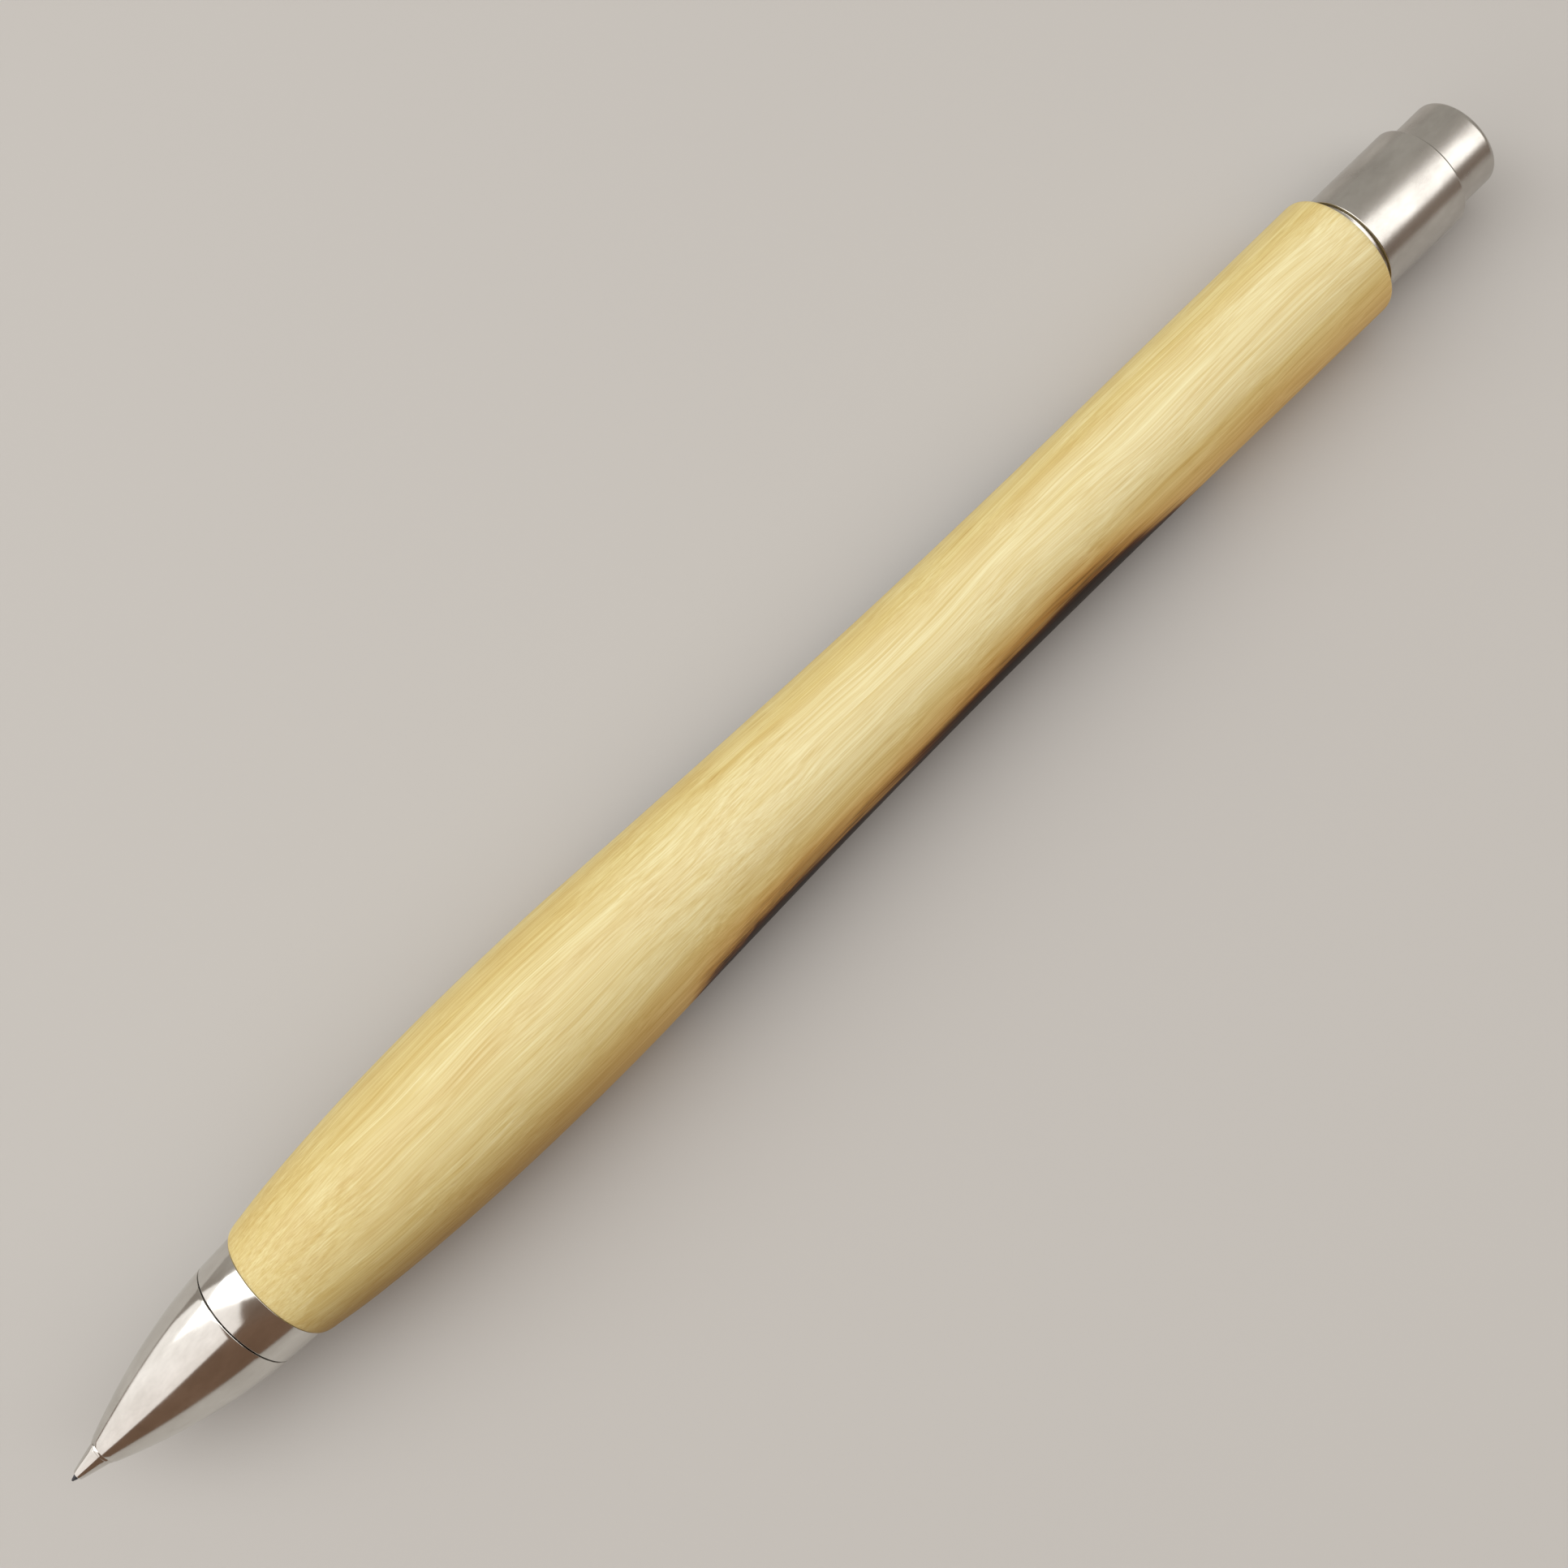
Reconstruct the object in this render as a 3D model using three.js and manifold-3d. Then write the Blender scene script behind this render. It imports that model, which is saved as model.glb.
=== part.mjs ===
// Push-button mechanical pencil with a turned wooden barrel, in millimetres.
// It lies level along X, writing point towards -X and push button towards +X, with +Z up.
// Each outline is a list of [station, radius]: the station is the distance back from the
// writing point, and the outline is turned round the pencil's axis.
import * as THREE from 'three';
import { mergeVertices } from 'three/addons/utils/BufferGeometryUtils.js';
import Module from 'manifold-3d';

// Stations of the outside joints
const LENGTH = 140;
const GUIDE_FRONT = 0.55;
const NOSE_FRONT = 3.3;
const NOSE_REAR = 16.8;
const BARREL_FRONT = 20;
const BARREL_REAR = 127.6;
const SLEEVE_REAR = 136.05;

// Outside radii
const LEAD_RADIUS = 0.25;
const GUIDE_RADIUS = 1.12;
const NOSE_RADIUS = 4.56;
const FERRULE_RADIUS = 4.72;
const BARREL_REAR_RADIUS = 5.2;
const SLEEVE_RADIUS = 4.32;
const BUTTON_RADIUS = 3.68;

// Bores and the tubes that fill them
const RUNNING_GAP = 0.08;
const LINER_RADIUS = 3.5;
const LINER_BORE = 3.2;
const HOUSING_RADIUS = 2.42;
const HOUSING_BORE = 1.95;
const HOUSING_REAR = 38;
const STEM_RADIUS = 1.05;
const LEAD_TUBE_RADIUS = 1.85;
const LEAD_TUBE_BORE = 1.5;
const LEAD_TUBE_REAR = 131.6;

// How far the clutch ring goes forward before its stop
const FEED_TRAVEL = 0.6;

// Facets round the outer pieces and round the small ones inside
const OUTER_SIDES = 24;
const INNER_SIDES = 24;
const LEAD_SIDES = 10;

const polishedSteel = new THREE.MeshStandardMaterial({ color: 0xd2d0cb, roughness: 0.12, metalness: 1 });
const satinSteel = new THREE.MeshStandardMaterial({ color: 0xb9b3aa, roughness: 0.3, metalness: 1 });
const lacqueredWood = new THREE.MeshStandardMaterial({ color: 0xe6d193, roughness: 0.25, metalness: 0 });
const brass = new THREE.MeshStandardMaterial({ color: 0xc9a24f, roughness: 0.3, metalness: 1 });
const springSteel = new THREE.MeshStandardMaterial({ color: 0x9c9c9a, roughness: 0.35, metalness: 1 });
const clearPlastic = new THREE.MeshStandardMaterial({ color: 0xd9dcdc, roughness: 0.4, metalness: 0 });
const blackRubber = new THREE.MeshStandardMaterial({ color: 0x1c1c1c, roughness: 0.8, metalness: 0 });
const whiteVinyl = new THREE.MeshStandardMaterial({ color: 0xf1efe8, roughness: 0.7, metalness: 0 });
const graphite = new THREE.MeshStandardMaterial({ color: 0x34353a, roughness: 0.45, metalness: 0.2 });

const wasm = await Module();
wasm.setup();

// A flat facet faces straight down, so the pencil lies on a facet and not on an edge.
function turnOutline(outline, sides) {
  const points = outline.map(([station, radius]) => new THREE.Vector2(radius, station));
  const geometry = new THREE.LatheGeometry(points, sides, Math.PI / sides);
  return geometry.rotateZ(-Math.PI / 2);
}

// A ring-shaped piece: the outer outline runs rearwards, the bore outline runs back to the front.
function turnHollow(outer, bore, sides) {
  const outline = [...outer, ...[...bore].reverse()];
  return turnOutline([...outline, outline[0]], sides);
}

function curvePoints(curve, steps) {
  return curve.getPoints(steps).map((p) => [p.x, p.y]);
}

function bend(start, corner, end, steps) {
  const [a, b, c] = [start, corner, end].map(([x, y]) => new THREE.Vector2(x, y));
  return curvePoints(new THREE.QuadraticBezierCurve(a, b, c), steps);
}

function toSolid(geometry) {
  const bare = geometry.clone();
  bare.deleteAttribute('normal');
  bare.deleteAttribute('uv');
  const merged = mergeVertices(bare, 1e-5);
  const vertProperties = new Float32Array(merged.attributes.position.array);
  const triVerts = new Uint32Array(merged.index.array);
  return new wasm.Manifold(new wasm.Mesh({ numProp: 3, vertProperties, triVerts }));
}

function toGeometry(solid) {
  const mesh = solid.getMesh();
  const geometry = new THREE.BufferGeometry();
  geometry.setAttribute('position', new THREE.BufferAttribute(new Float32Array(mesh.vertProperties), 3));
  geometry.setIndex(new THREE.BufferAttribute(new Uint32Array(mesh.triVerts), 1));
  geometry.computeVertexNormals();
  return geometry;
}

// Writing end

function guideTip() {
  const end = 6.2;
  const flangeFront = 5.2;
  const pocketFront = 4.4;
  const outer = [
    [GUIDE_FRONT, 0.36],
    [NOSE_FRONT - 0.35, 1.02],
    [NOSE_FRONT - 0.2, GUIDE_RADIUS],
    [NOSE_FRONT - 0.02, GUIDE_RADIUS],
    [NOSE_FRONT - 0.02, 0.95],
    [flangeFront, 0.95],
    [flangeFront, 1.3],
    [end, 1.3],
  ];
  const bore = [
    [GUIDE_FRONT, 0.29],
    [pocketFront, 0.29],
    [pocketFront, 0.84],
    [end, 0.84],
  ];
  return turnHollow(outer, bore, INNER_SIDES);
}

function leadRetainer() {
  const [front, rear] = [4.5, 6.1];
  const outer = [[front, 0.78], [rear, 0.78]];
  const bore = [[front, 0.29], [rear, 0.29]];
  return turnHollow(outer, bore, INNER_SIDES);
}

function noseCone() {
  const ogive = bend([NOSE_FRONT, 1.28], [10.5, 4.12], [NOSE_REAR - 0.12, NOSE_RADIUS], 12);
  const outer = [...ogive, [NOSE_REAR, NOSE_RADIUS - 0.12]];
  const bore = [
    [NOSE_FRONT, 1.02],
    [5.1, 1.02],
    [5.1, 1.4],
    [6.6, 1.4],
    [6.8, 1.75],
    [10.4, 1.75],
    [11.6, 3.42],
    [NOSE_REAR, 3.42],
  ];
  return turnHollow(outer, bore, OUTER_SIDES);
}

function frontFerrule() {
  const front = NOSE_REAR + 0.1;
  const rear = BARREL_FRONT - 0.05;
  const outer = [
    [12.3, 3.2],
    [12.5, 3.34],
    [front, 3.34],
    [front, NOSE_RADIUS - 0.1],
    [front + 0.12, NOSE_RADIUS + 0.02],
    [rear, FERRULE_RADIUS],
    [rear, LINER_BORE - RUNNING_GAP],
    [27, LINER_BORE - RUNNING_GAP],
  ];
  const bore = [[12.3, HOUSING_RADIUS + RUNNING_GAP], [27, HOUSING_RADIUS + RUNNING_GAP]];
  return turnHollow(outer, bore, OUTER_SIDES);
}

// Barrel

function barrelOutline() {
  const belly = new THREE.SplineCurve([
    new THREE.Vector2(21.2, 5.18),
    new THREE.Vector2(24.3, 5.62),
    new THREE.Vector2(29.6, 6.1),
    new THREE.Vector2(35.7, 6.43),
    new THREE.Vector2(42.7, 6.57),
    new THREE.Vector2(51.2, 6.47),
    new THREE.Vector2(61.2, 6.04),
    new THREE.Vector2(72.8, 5.6),
    new THREE.Vector2(85.3, 5.27),
    new THREE.Vector2(98.4, 5.15),
    new THREE.Vector2(112.4, 5.17),
    new THREE.Vector2(127, BARREL_REAR_RADIUS),
  ]);
  const frontEdge = bend([BARREL_FRONT, 4.64], [BARREL_FRONT, 5.06], [21.2, 5.18], 4);
  const corner = [BARREL_REAR, BARREL_REAR_RADIUS];
  const rearEdge = bend([127, BARREL_REAR_RADIUS], corner, [BARREL_REAR, 4.65], 3);
  return [...frontEdge, ...curvePoints(belly, 22).slice(1, -1), ...rearEdge];
}

function woodBarrel() {
  const radius = LINER_RADIUS + 0.05;
  const bore = [[BARREL_FRONT, radius], [BARREL_REAR, radius]];
  return turnHollow(barrelOutline(), bore, OUTER_SIDES);
}

function barrelLiner() {
  const [front, rear] = [BARREL_FRONT + 0.3, BARREL_REAR - 0.2];
  const outer = [[front, LINER_RADIUS], [rear, LINER_RADIUS]];
  const bore = [[front, LINER_BORE], [rear, LINER_BORE]];
  return turnHollow(outer, bore, OUTER_SIDES);
}

function rearSleeve() {
  const front = BARREL_REAR + 0.04;
  const neckRear = BARREL_REAR + 0.66;
  const neckRadius = SLEEVE_RADIUS - 0.3;
  const spigotFront = 119.5;
  const seat = BARREL_REAR + 1;
  const outer = [
    [spigotFront, LINER_BORE - RUNNING_GAP - 0.1],
    [spigotFront + 0.3, LINER_BORE - RUNNING_GAP],
    [front, LINER_BORE - RUNNING_GAP],
    [front, neckRadius],
    [neckRear, neckRadius],
    [neckRear, SLEEVE_RADIUS - 0.07],
    [neckRear + 0.07, SLEEVE_RADIUS],
    [SLEEVE_REAR - 0.15, SLEEVE_RADIUS],
    [SLEEVE_REAR, SLEEVE_RADIUS - 0.15],
  ];
  const bore = [
    [spigotFront, 2.3],
    [seat, 2.3],
    [seat, BUTTON_RADIUS + RUNNING_GAP],
    [SLEEVE_REAR, BUTTON_RADIUS + RUNNING_GAP],
  ];
  return turnHollow(outer, bore, OUTER_SIDES);
}

// Button, eraser and lead store

function pushButton() {
  const front = LEAD_TUBE_REAR + 0.15;
  const crown = bend([LENGTH - 0.5, BUTTON_RADIUS], [LENGTH - 0.14, BUTTON_RADIUS], [LENGTH - 0.06, 3.2], 4);
  const hollow = [[138.95, 0], [138.95, 2.86], [front, 2.86]];
  const skirt = [[front, BUTTON_RADIUS - 0.1], [front + 0.1, BUTTON_RADIUS]];
  return turnOutline([...hollow, ...skirt, ...crown, [LENGTH, 1.6], [LENGTH, 0]], OUTER_SIDES);
}

function eraser() {
  const outline = [[132.5, 0], [132.5, 2.2], [138.2, 2.2], [138.5, 1.95], [138.5, 0]];
  return turnOutline(outline, INNER_SIDES);
}

function eraserHolder() {
  const cupFront = LEAD_TUBE_REAR + 0.2;
  const outline = [
    [126.5, 0],
    [126.5, 1.3],
    [126.7, LEAD_TUBE_BORE - RUNNING_GAP],
    [cupFront, LEAD_TUBE_BORE - RUNNING_GAP],
    [cupFront, 2.78],
    [135.8, 2.78],
    [135.8, 2.28],
    [132.4, 2.28],
    [132.4, 0],
  ];
  return turnOutline(outline, INNER_SIDES);
}

function leadTube() {
  const front = HOUSING_REAR + 0.3;
  const outer = [[front, LEAD_TUBE_RADIUS], [LEAD_TUBE_REAR, LEAD_TUBE_RADIUS]];
  const bore = [[front, LEAD_TUBE_BORE], [LEAD_TUBE_REAR, LEAD_TUBE_BORE]];
  return turnHollow(outer, bore, INNER_SIDES);
}

// Clutch mechanism

function chuckSleeve() {
  const flangeFront = 27.1;
  const flangeRadius = 3.05;
  const outer = [
    [11.9, HOUSING_RADIUS - 0.2],
    [12.1, HOUSING_RADIUS],
    [flangeFront, HOUSING_RADIUS],
    [flangeFront, flangeRadius],
    [flangeFront + 1, flangeRadius],
    [flangeFront + 1, HOUSING_RADIUS],
    [HOUSING_REAR, HOUSING_RADIUS],
  ];
  const bore = [
    [11.9, 1.6],
    [13.3, 1.6],
    [13.3, 2.02],
    [16.5, 2.02],
    [16.5, 1.32],
    [18, 1.32],
    [18, HOUSING_BORE],
    [HOUSING_REAR, HOUSING_BORE],
  ];
  return turnHollow(outer, bore, INNER_SIDES);
}

function clutchRing() {
  const rear = 16.4;
  const front = rear - FEED_TRAVEL - 1.85;
  const outer = [[front, 1.94], [rear, 1.94]];
  const bore = [[front, 1.42], [15.5, 1.14], [rear, 1.14]];
  return turnHollow(outer, bore, INNER_SIDES);
}

// Three saw cuts split the front of the chuck into jaws.
function chuck() {
  const stemRear = 36.3;
  const cutRear = 24;
  const outer = [
    [10, 0.95],
    [10.5, 1.38],
    [13.2, 1.42],
    [15.5, STEM_RADIUS],
    [stemRear, STEM_RADIUS],
  ];
  const bore = [[10, 0.31], [stemRear, 0.31]];
  let solid = toSolid(turnHollow(outer, bore, INNER_SIDES));
  for (const turn of [0, 1, 2]) {
    const cut = new THREE.BoxGeometry(cutRear - 9, 0.18, 2);
    cut.translate((cutRear + 9) / 2, 0, 1);
    cut.rotateX((turn * 2 * Math.PI) / 3);
    solid = solid.subtract(toSolid(cut));
  }
  return toGeometry(solid);
}

function chuckConnector() {
  const front = 30.3;
  const shoulder = 37.8;
  const rear = 46;
  const outer = [
    [front, HOUSING_BORE - RUNNING_GAP],
    [shoulder, HOUSING_BORE - RUNNING_GAP],
    [shoulder, LEAD_TUBE_BORE - RUNNING_GAP],
    [rear, LEAD_TUBE_BORE - RUNNING_GAP],
  ];
  const bore = [
    [front, STEM_RADIUS + 0.06],
    [36.5, STEM_RADIUS + 0.06],
    [36.5, 0.5],
    [rear - 0.6, 0.5],
    [rear, 1],
  ];
  return turnHollow(outer, bore, INNER_SIDES);
}

class SpringCurve extends THREE.Curve {
  constructor(front, rear, radius, turns) {
    super();
    Object.assign(this, { front, rear, radius, turns });
  }

  getPoint(t, target = new THREE.Vector3()) {
    const angle = t * this.turns * 2 * Math.PI;
    const x = this.front + t * (this.rear - this.front);
    return target.set(x, this.radius * Math.cos(angle), this.radius * Math.sin(angle));
  }
}

function returnSpring() {
  const wireRadius = 0.16;
  const turns = 9;
  const stepsPerTurn = 14;
  const path = new SpringCurve(18.2, 30.1, 1.52, turns);
  const wire = new THREE.Shape();
  wire.absarc(0, 0, wireRadius, 0, 2 * Math.PI);
  return new THREE.ExtrudeGeometry(wire, {
    steps: turns * stepsPerTurn,
    curveSegments: 6,
    bevelEnabled: false,
    extrudePath: path,
  });
}

// Leads

function writingLead() {
  const outline = [[0, 0], [0, 0.07], [0.5, LEAD_RADIUS], [60, LEAD_RADIUS], [60, 0]];
  return turnOutline(outline, LEAD_SIDES);
}

// The spare leads lie side by side along the bottom of the lead tube.
function spareLead(index) {
  const front = 56;
  const outline = [[front, 0], [front, LEAD_RADIUS], [front + 60, LEAD_RADIUS], [front + 60, 0]];
  const offset = LEAD_TUBE_BORE - LEAD_RADIUS - 0.06;
  const angle = (index - 2) * 0.56;
  const geometry = turnOutline(outline, LEAD_SIDES);
  return geometry.translate(index * 1.5, offset * Math.sin(angle), -offset * Math.cos(angle));
}

const widest = Math.max(...barrelOutline().map(([, radius]) => radius));
const pencil = new THREE.Group();
pencil.position.set(-LENGTH / 2, 0, widest * Math.cos(Math.PI / OUTER_SIDES));

function add(name, geometry, material) {
  const mesh = new THREE.Mesh(geometry, material);
  mesh.name = name;
  pencil.add(mesh);
}

add('guide_tip', guideTip(), polishedSteel);
add('lead_retainer', leadRetainer(), blackRubber);
add('nose_cone', noseCone(), polishedSteel);
add('front_ferrule', frontFerrule(), polishedSteel);
add('wood_barrel', woodBarrel(), lacqueredWood);
add('barrel_liner', barrelLiner(), brass);
add('rear_sleeve', rearSleeve(), satinSteel);
add('push_button', pushButton(), satinSteel);
add('eraser', eraser(), whiteVinyl);
add('eraser_holder', eraserHolder(), satinSteel);
add('lead_tube', leadTube(), clearPlastic);
add('chuck_sleeve', chuckSleeve(), brass);
add('clutch_ring', clutchRing(), brass);
add('chuck', chuck(), brass);
add('chuck_connector', chuckConnector(), brass);
add('return_spring', returnSpring(), springSteel);
add('writing_lead', writingLead(), graphite);
for (const index of [1, 2, 3]) add(`spare_lead_${index}`, spareLead(index), graphite);

export default pencil;
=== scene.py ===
# A push-button mechanical pencil with a turned wooden barrel, level along X: writing point
# at -X, button at +X. Each section makes one piece, or one group of like pieces, in the
# order in which the pencil is put together.
import math

import bmesh
import bpy
from mathutils import Matrix, Vector


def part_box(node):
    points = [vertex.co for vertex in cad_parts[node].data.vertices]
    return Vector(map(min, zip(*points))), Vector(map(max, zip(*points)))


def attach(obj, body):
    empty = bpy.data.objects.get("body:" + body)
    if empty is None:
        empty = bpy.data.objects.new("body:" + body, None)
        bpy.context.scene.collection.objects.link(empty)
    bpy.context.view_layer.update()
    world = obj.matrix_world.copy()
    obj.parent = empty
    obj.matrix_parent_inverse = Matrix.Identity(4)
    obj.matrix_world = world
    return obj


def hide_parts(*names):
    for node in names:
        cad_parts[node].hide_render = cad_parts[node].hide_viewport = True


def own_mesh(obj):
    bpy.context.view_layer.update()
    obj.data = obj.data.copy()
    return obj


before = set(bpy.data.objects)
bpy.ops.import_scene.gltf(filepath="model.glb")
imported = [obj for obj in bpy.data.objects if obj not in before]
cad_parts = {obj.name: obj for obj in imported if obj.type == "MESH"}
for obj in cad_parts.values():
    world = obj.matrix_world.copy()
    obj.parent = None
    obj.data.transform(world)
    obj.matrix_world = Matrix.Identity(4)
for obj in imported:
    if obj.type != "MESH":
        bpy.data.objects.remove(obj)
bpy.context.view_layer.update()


# ---------------------------------------------------------------------------------------
# Wooden barrel: turned from one pale blank of close-grained boxwood that runs into dark
# heartwood on its underside, sanded fine, then lacquered thinly.
MM = 0.001
POINT_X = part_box("writing_lead")[0].x
AXIS_Z = (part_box("wood_barrel")[0].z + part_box("wood_barrel")[1].z) / 2


def smooth_through(knots, steps):
    """Points on the smooth curve through the knots, with steps to each stretch."""
    ends = [knots[0], *knots, knots[-1]]
    points = []
    for a, b, c, d in zip(ends, ends[1:], ends[2:], ends[3:]):
        for k in range(steps):
            t = k / steps
            points.append(tuple(
                0.5 * (2 * q + (r - p) * t + (2 * p - 5 * q + 4 * r - s) * t**2
                       + (3 * q - p - 3 * r + s) * t**3)
                for p, q, r, s in zip(a, b, c, d)
            ))
    return [*points, knots[-1]]


def bend(start, corner, end, steps=8):
    """Points on the curve that leaves start towards corner and comes into end from it."""
    return [
        tuple((1 - t) ** 2 * a + 2 * t * (1 - t) * b + t**2 * c
              for a, b, c in zip(start, corner, end))
        for t in (k / steps for k in range(steps + 1))
    ]


def turn(name, outline, steps=192, edge=0.06):
    """Turns an outline of (distance from the point, radius) round the axis, all in mm.
    Its corners are rounded by edge. An outline that isn't on the axis closes on itself."""
    bm = bmesh.new()
    verts = [bm.verts.new((POINT_X + x * MM, 0, AXIS_Z + r * MM)) for x, r in outline]
    ring = verts if outline[0][1] == 0 else [*verts, verts[0]]
    edges = [bm.edges.new(pair) for pair in zip(ring, ring[1:])]
    bmesh.ops.spin(bm, geom=[*verts, *edges], cent=(0, 0, AXIS_Z), axis=(1, 0, 0),
                   angle=2 * math.pi, steps=steps, use_merge=True)
    bmesh.ops.remove_doubles(bm, verts=bm.verts, dist=1e-7)
    bmesh.ops.recalc_face_normals(bm, faces=bm.faces)
    if edge:
        corners = [e for e in bm.edges if e.calc_face_angle(0) > math.radians(24)]
        bmesh.ops.bevel(bm, geom=corners, offset=edge * MM, segments=3, profile=0.5,
                        affect="EDGES", material=-1, clamp_overlap=True)
    return finish_piece(name, bm)


def finish_piece(name, bm):
    """Makes the bmesh an object with smooth shading, its flat faces kept flat."""
    mesh = bpy.data.meshes.new(name)
    bm.to_mesh(mesh)
    bm.free()
    mesh.shade_smooth()
    piece = bpy.data.objects.new(name, mesh)
    bpy.context.scene.collection.objects.link(piece)
    piece.modifiers.new("flat_faces", "WEIGHTED_NORMAL")
    return piece


def place(piece, body, node, material):
    """The piece takes the CAD node's place on its body, in this finish."""
    piece.data.materials.append(material)
    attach(piece, body)
    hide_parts(node)


def linear(colour):
    """An sRGB hex colour as linear RGBA."""
    parts = [int(colour[i:i + 2], 16) / 255 for i in (1, 3, 5)]
    return [c / 12.92 if c <= 0.04045 else ((c + 0.055) / 1.055) ** 2.4 for c in parts] + [1]


def new_material(name):
    material = bpy.data.materials.new(name)
    material.use_nodes = True
    material.node_tree.nodes.clear()
    return material


def add(owner, kind, inputs=(), stops=None, **settings):
    """Adds a node to a material or a world. An input takes a value, or another node's
    output as its source. The stops are those of a colour ramp."""
    tree = owner.node_tree
    made = tree.nodes.new(kind)
    for key, value in settings.items():
        setattr(made, key, value)
    for key, value in dict(inputs).items():
        if isinstance(value, bpy.types.NodeSocket):
            tree.links.new(value, made.inputs[key])
        else:
            made.inputs[key].default_value = value
    if stops:
        elements = made.color_ramp.elements
        while len(elements) < len(stops):
            elements.new(0.5)
        for element, (position, colour) in zip(elements, stops):
            element.position = position
            element.color = linear(colour)
    return made


def lacquered_boxwood():
    """Pale gold with long fine fibres under a thin satin lacquer. A paler band painted along the
    top stands for the lamp's sheen, and a darker gold painted down the lower side stands for
    shade.
    On the underside of the waist it turns through brown into dark heartwood."""
    m = new_material("lacquered_boxwood")
    here = add(m, "ShaderNodeTexCoord").outputs["Object"]
    mm = add(m, "ShaderNodeMapping", {
        "Vector": here, "Location": (-POINT_X / MM, 0, -AXIS_Z / MM), "Scale": (1 / MM,) * 3,
    }).outputs["Vector"]
    along = add(m, "ShaderNodeSeparateXYZ", {"Vector": mm}).outputs["X"]

    # The grain drifts by less than a millimetre sideways as it runs along the barrel.
    drift = add(m, "ShaderNodeTexNoise", {
        "Vector": add(m, "ShaderNodeMapping", {"Vector": mm, "Scale": (0.04, 0.1, 0.1)})
        .outputs["Vector"], "Scale": 1.0, "Detail": 2,
    }).outputs["Color"]
    drift = add(m, "ShaderNodeVectorMath", {0: drift, 1: (0.5, 0.5, 0.5)},
                operation="SUBTRACT").outputs[0]
    drift = add(m, "ShaderNodeVectorMath", {0: drift, 1: (0, 2.6, 2.6)},
                operation="MULTIPLY").outputs[0]
    grain = add(m, "ShaderNodeVectorMath", {0: mm, 1: drift}, operation="ADD").outputs[0]

    def grain_noise(scale, detail, roughness=0.6):
        stretched = add(m, "ShaderNodeMapping", {"Vector": grain, "Scale": scale})
        return add(m, "ShaderNodeTexNoise", {
            "Vector": stretched.outputs["Vector"], "Scale": 1.0, "Detail": detail,
            "Roughness": roughness,
        }).outputs["Fac"]

    def sum_of(first, second, weight):
        return add(m, "ShaderNodeMath", {0: second, 1: weight, 2: first},
                   operation="MULTIPLY_ADD").outputs[0]

    # Fibres, growth bands and a slow shimmer set how pale the wood is. Real fibres are about
    # 0.03 mm thick. They are drawn at a seventh of a millimetre, coarse enough to show.
    fibres = grain_noise((0.05, 7.0, 7.0), 3)
    bands = grain_noise((0.014, 0.7, 0.7), 3)
    shimmer = grain_noise((0.3, 0.16, 0.16), 3)
    tone = sum_of(0.25, bands, 0.26)
    tone = sum_of(tone, fibres, 0.16)
    tone = sum_of(tone, shimmer, 0.08)
    pale = add(m, "ShaderNodeValToRGB", {"Fac": tone}, stops=[
        (0.4, "#CBB26E"), (0.47, "#D8C68A"), (0.53, "#DFD298"), (0.6, "#E7DDAF"),
    ]).outputs["Color"]
    # Short dark pores lie along the fibres.
    pores = add(m, "ShaderNodeMapRange", {
        "Value": grain_noise((0.35, 11.0, 11.0), 2), "From Min": 0.62, "From Max": 0.74,
        "To Min": 0.0, "To Max": 0.35,
    }).outputs["Result"]
    pale = add(m, "ShaderNodeMix", {0: pores, 6: pale, 7: linear("#A9803F")},
               data_type="RGBA").outputs[2]

    # Angles round the barrel are measured from the middle of the heartwood streak.
    middle = math.radians(165)
    round_place = add(m, "ShaderNodeVectorMath", {0: mm, 1: (0, 1, 1)}, operation="MULTIPLY")
    outward = add(m, "ShaderNodeVectorMath", {0: round_place.outputs[0]}, operation="NORMALIZE")
    cosine = add(m, "ShaderNodeVectorMath", {
        0: outward.outputs[0], 1: (0, -math.sin(middle), math.cos(middle)),
    }, operation="DOT_PRODUCT").outputs["Value"]
    angle = add(m, "ShaderNodeMath", {0: cosine}, operation="ARCCOSINE").outputs[0]
    angle = add(m, "ShaderNodeMath", {0: angle}, operation="DEGREES").outputs[0]

    # The streak's half width in degrees, at distances in mm from the point. The curve runs
    # from 0 to 1 both ways, so both are taken as shares.
    start, stop, widest = 50, 114, 120
    share = add(m, "ShaderNodeMapRange", {"Value": along, "From Min": start, "From Max": stop})
    width = add(m, "ShaderNodeFloatCurve", {"Value": share.outputs["Result"]})
    curve = width.mapping.curves[0]
    knots = [(50, 0), (54.5, 58), (57, 80), (60, 88), (66, 91), (76, 89), (84, 93), (91, 100),
             (96, 107), (99, 107), (103, 99), (107, 84), (110.5, 50), (114, 0)]
    while len(curve.points) < len(knots):
        curve.points.new(0.5, 0.5)
    for point, (x, degrees) in zip(curve.points, knots):
        point.location = ((x - start) / (stop - start), degrees / widest)
    width.mapping.update()
    # How far a place lies inside the streak's edge, in degrees. Grain makes the edge ragged.
    depth = add(m, "ShaderNodeMath", {0: width.outputs[0], 1: widest},
                operation="MULTIPLY").outputs[0]
    depth = add(m, "ShaderNodeMath", {0: depth, 1: angle}, operation="SUBTRACT").outputs[0]
    ragged = grain_noise((0.05, 1.5, 1.5), 4, 0.7)
    depth = sum_of(depth, ragged, 30.0)
    # Towards the button the streak breaks up into brown threads instead of ending dark.
    fade = add(m, "ShaderNodeMapRange", {
        "Value": along, "From Min": 88.0, "From Max": 106.0, "To Min": 0.0, "To Max": 16.0,
    }).outputs["Result"]
    depth = add(m, "ShaderNodeMath", {0: depth, 1: fade}, operation="SUBTRACT").outputs[0]

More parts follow.
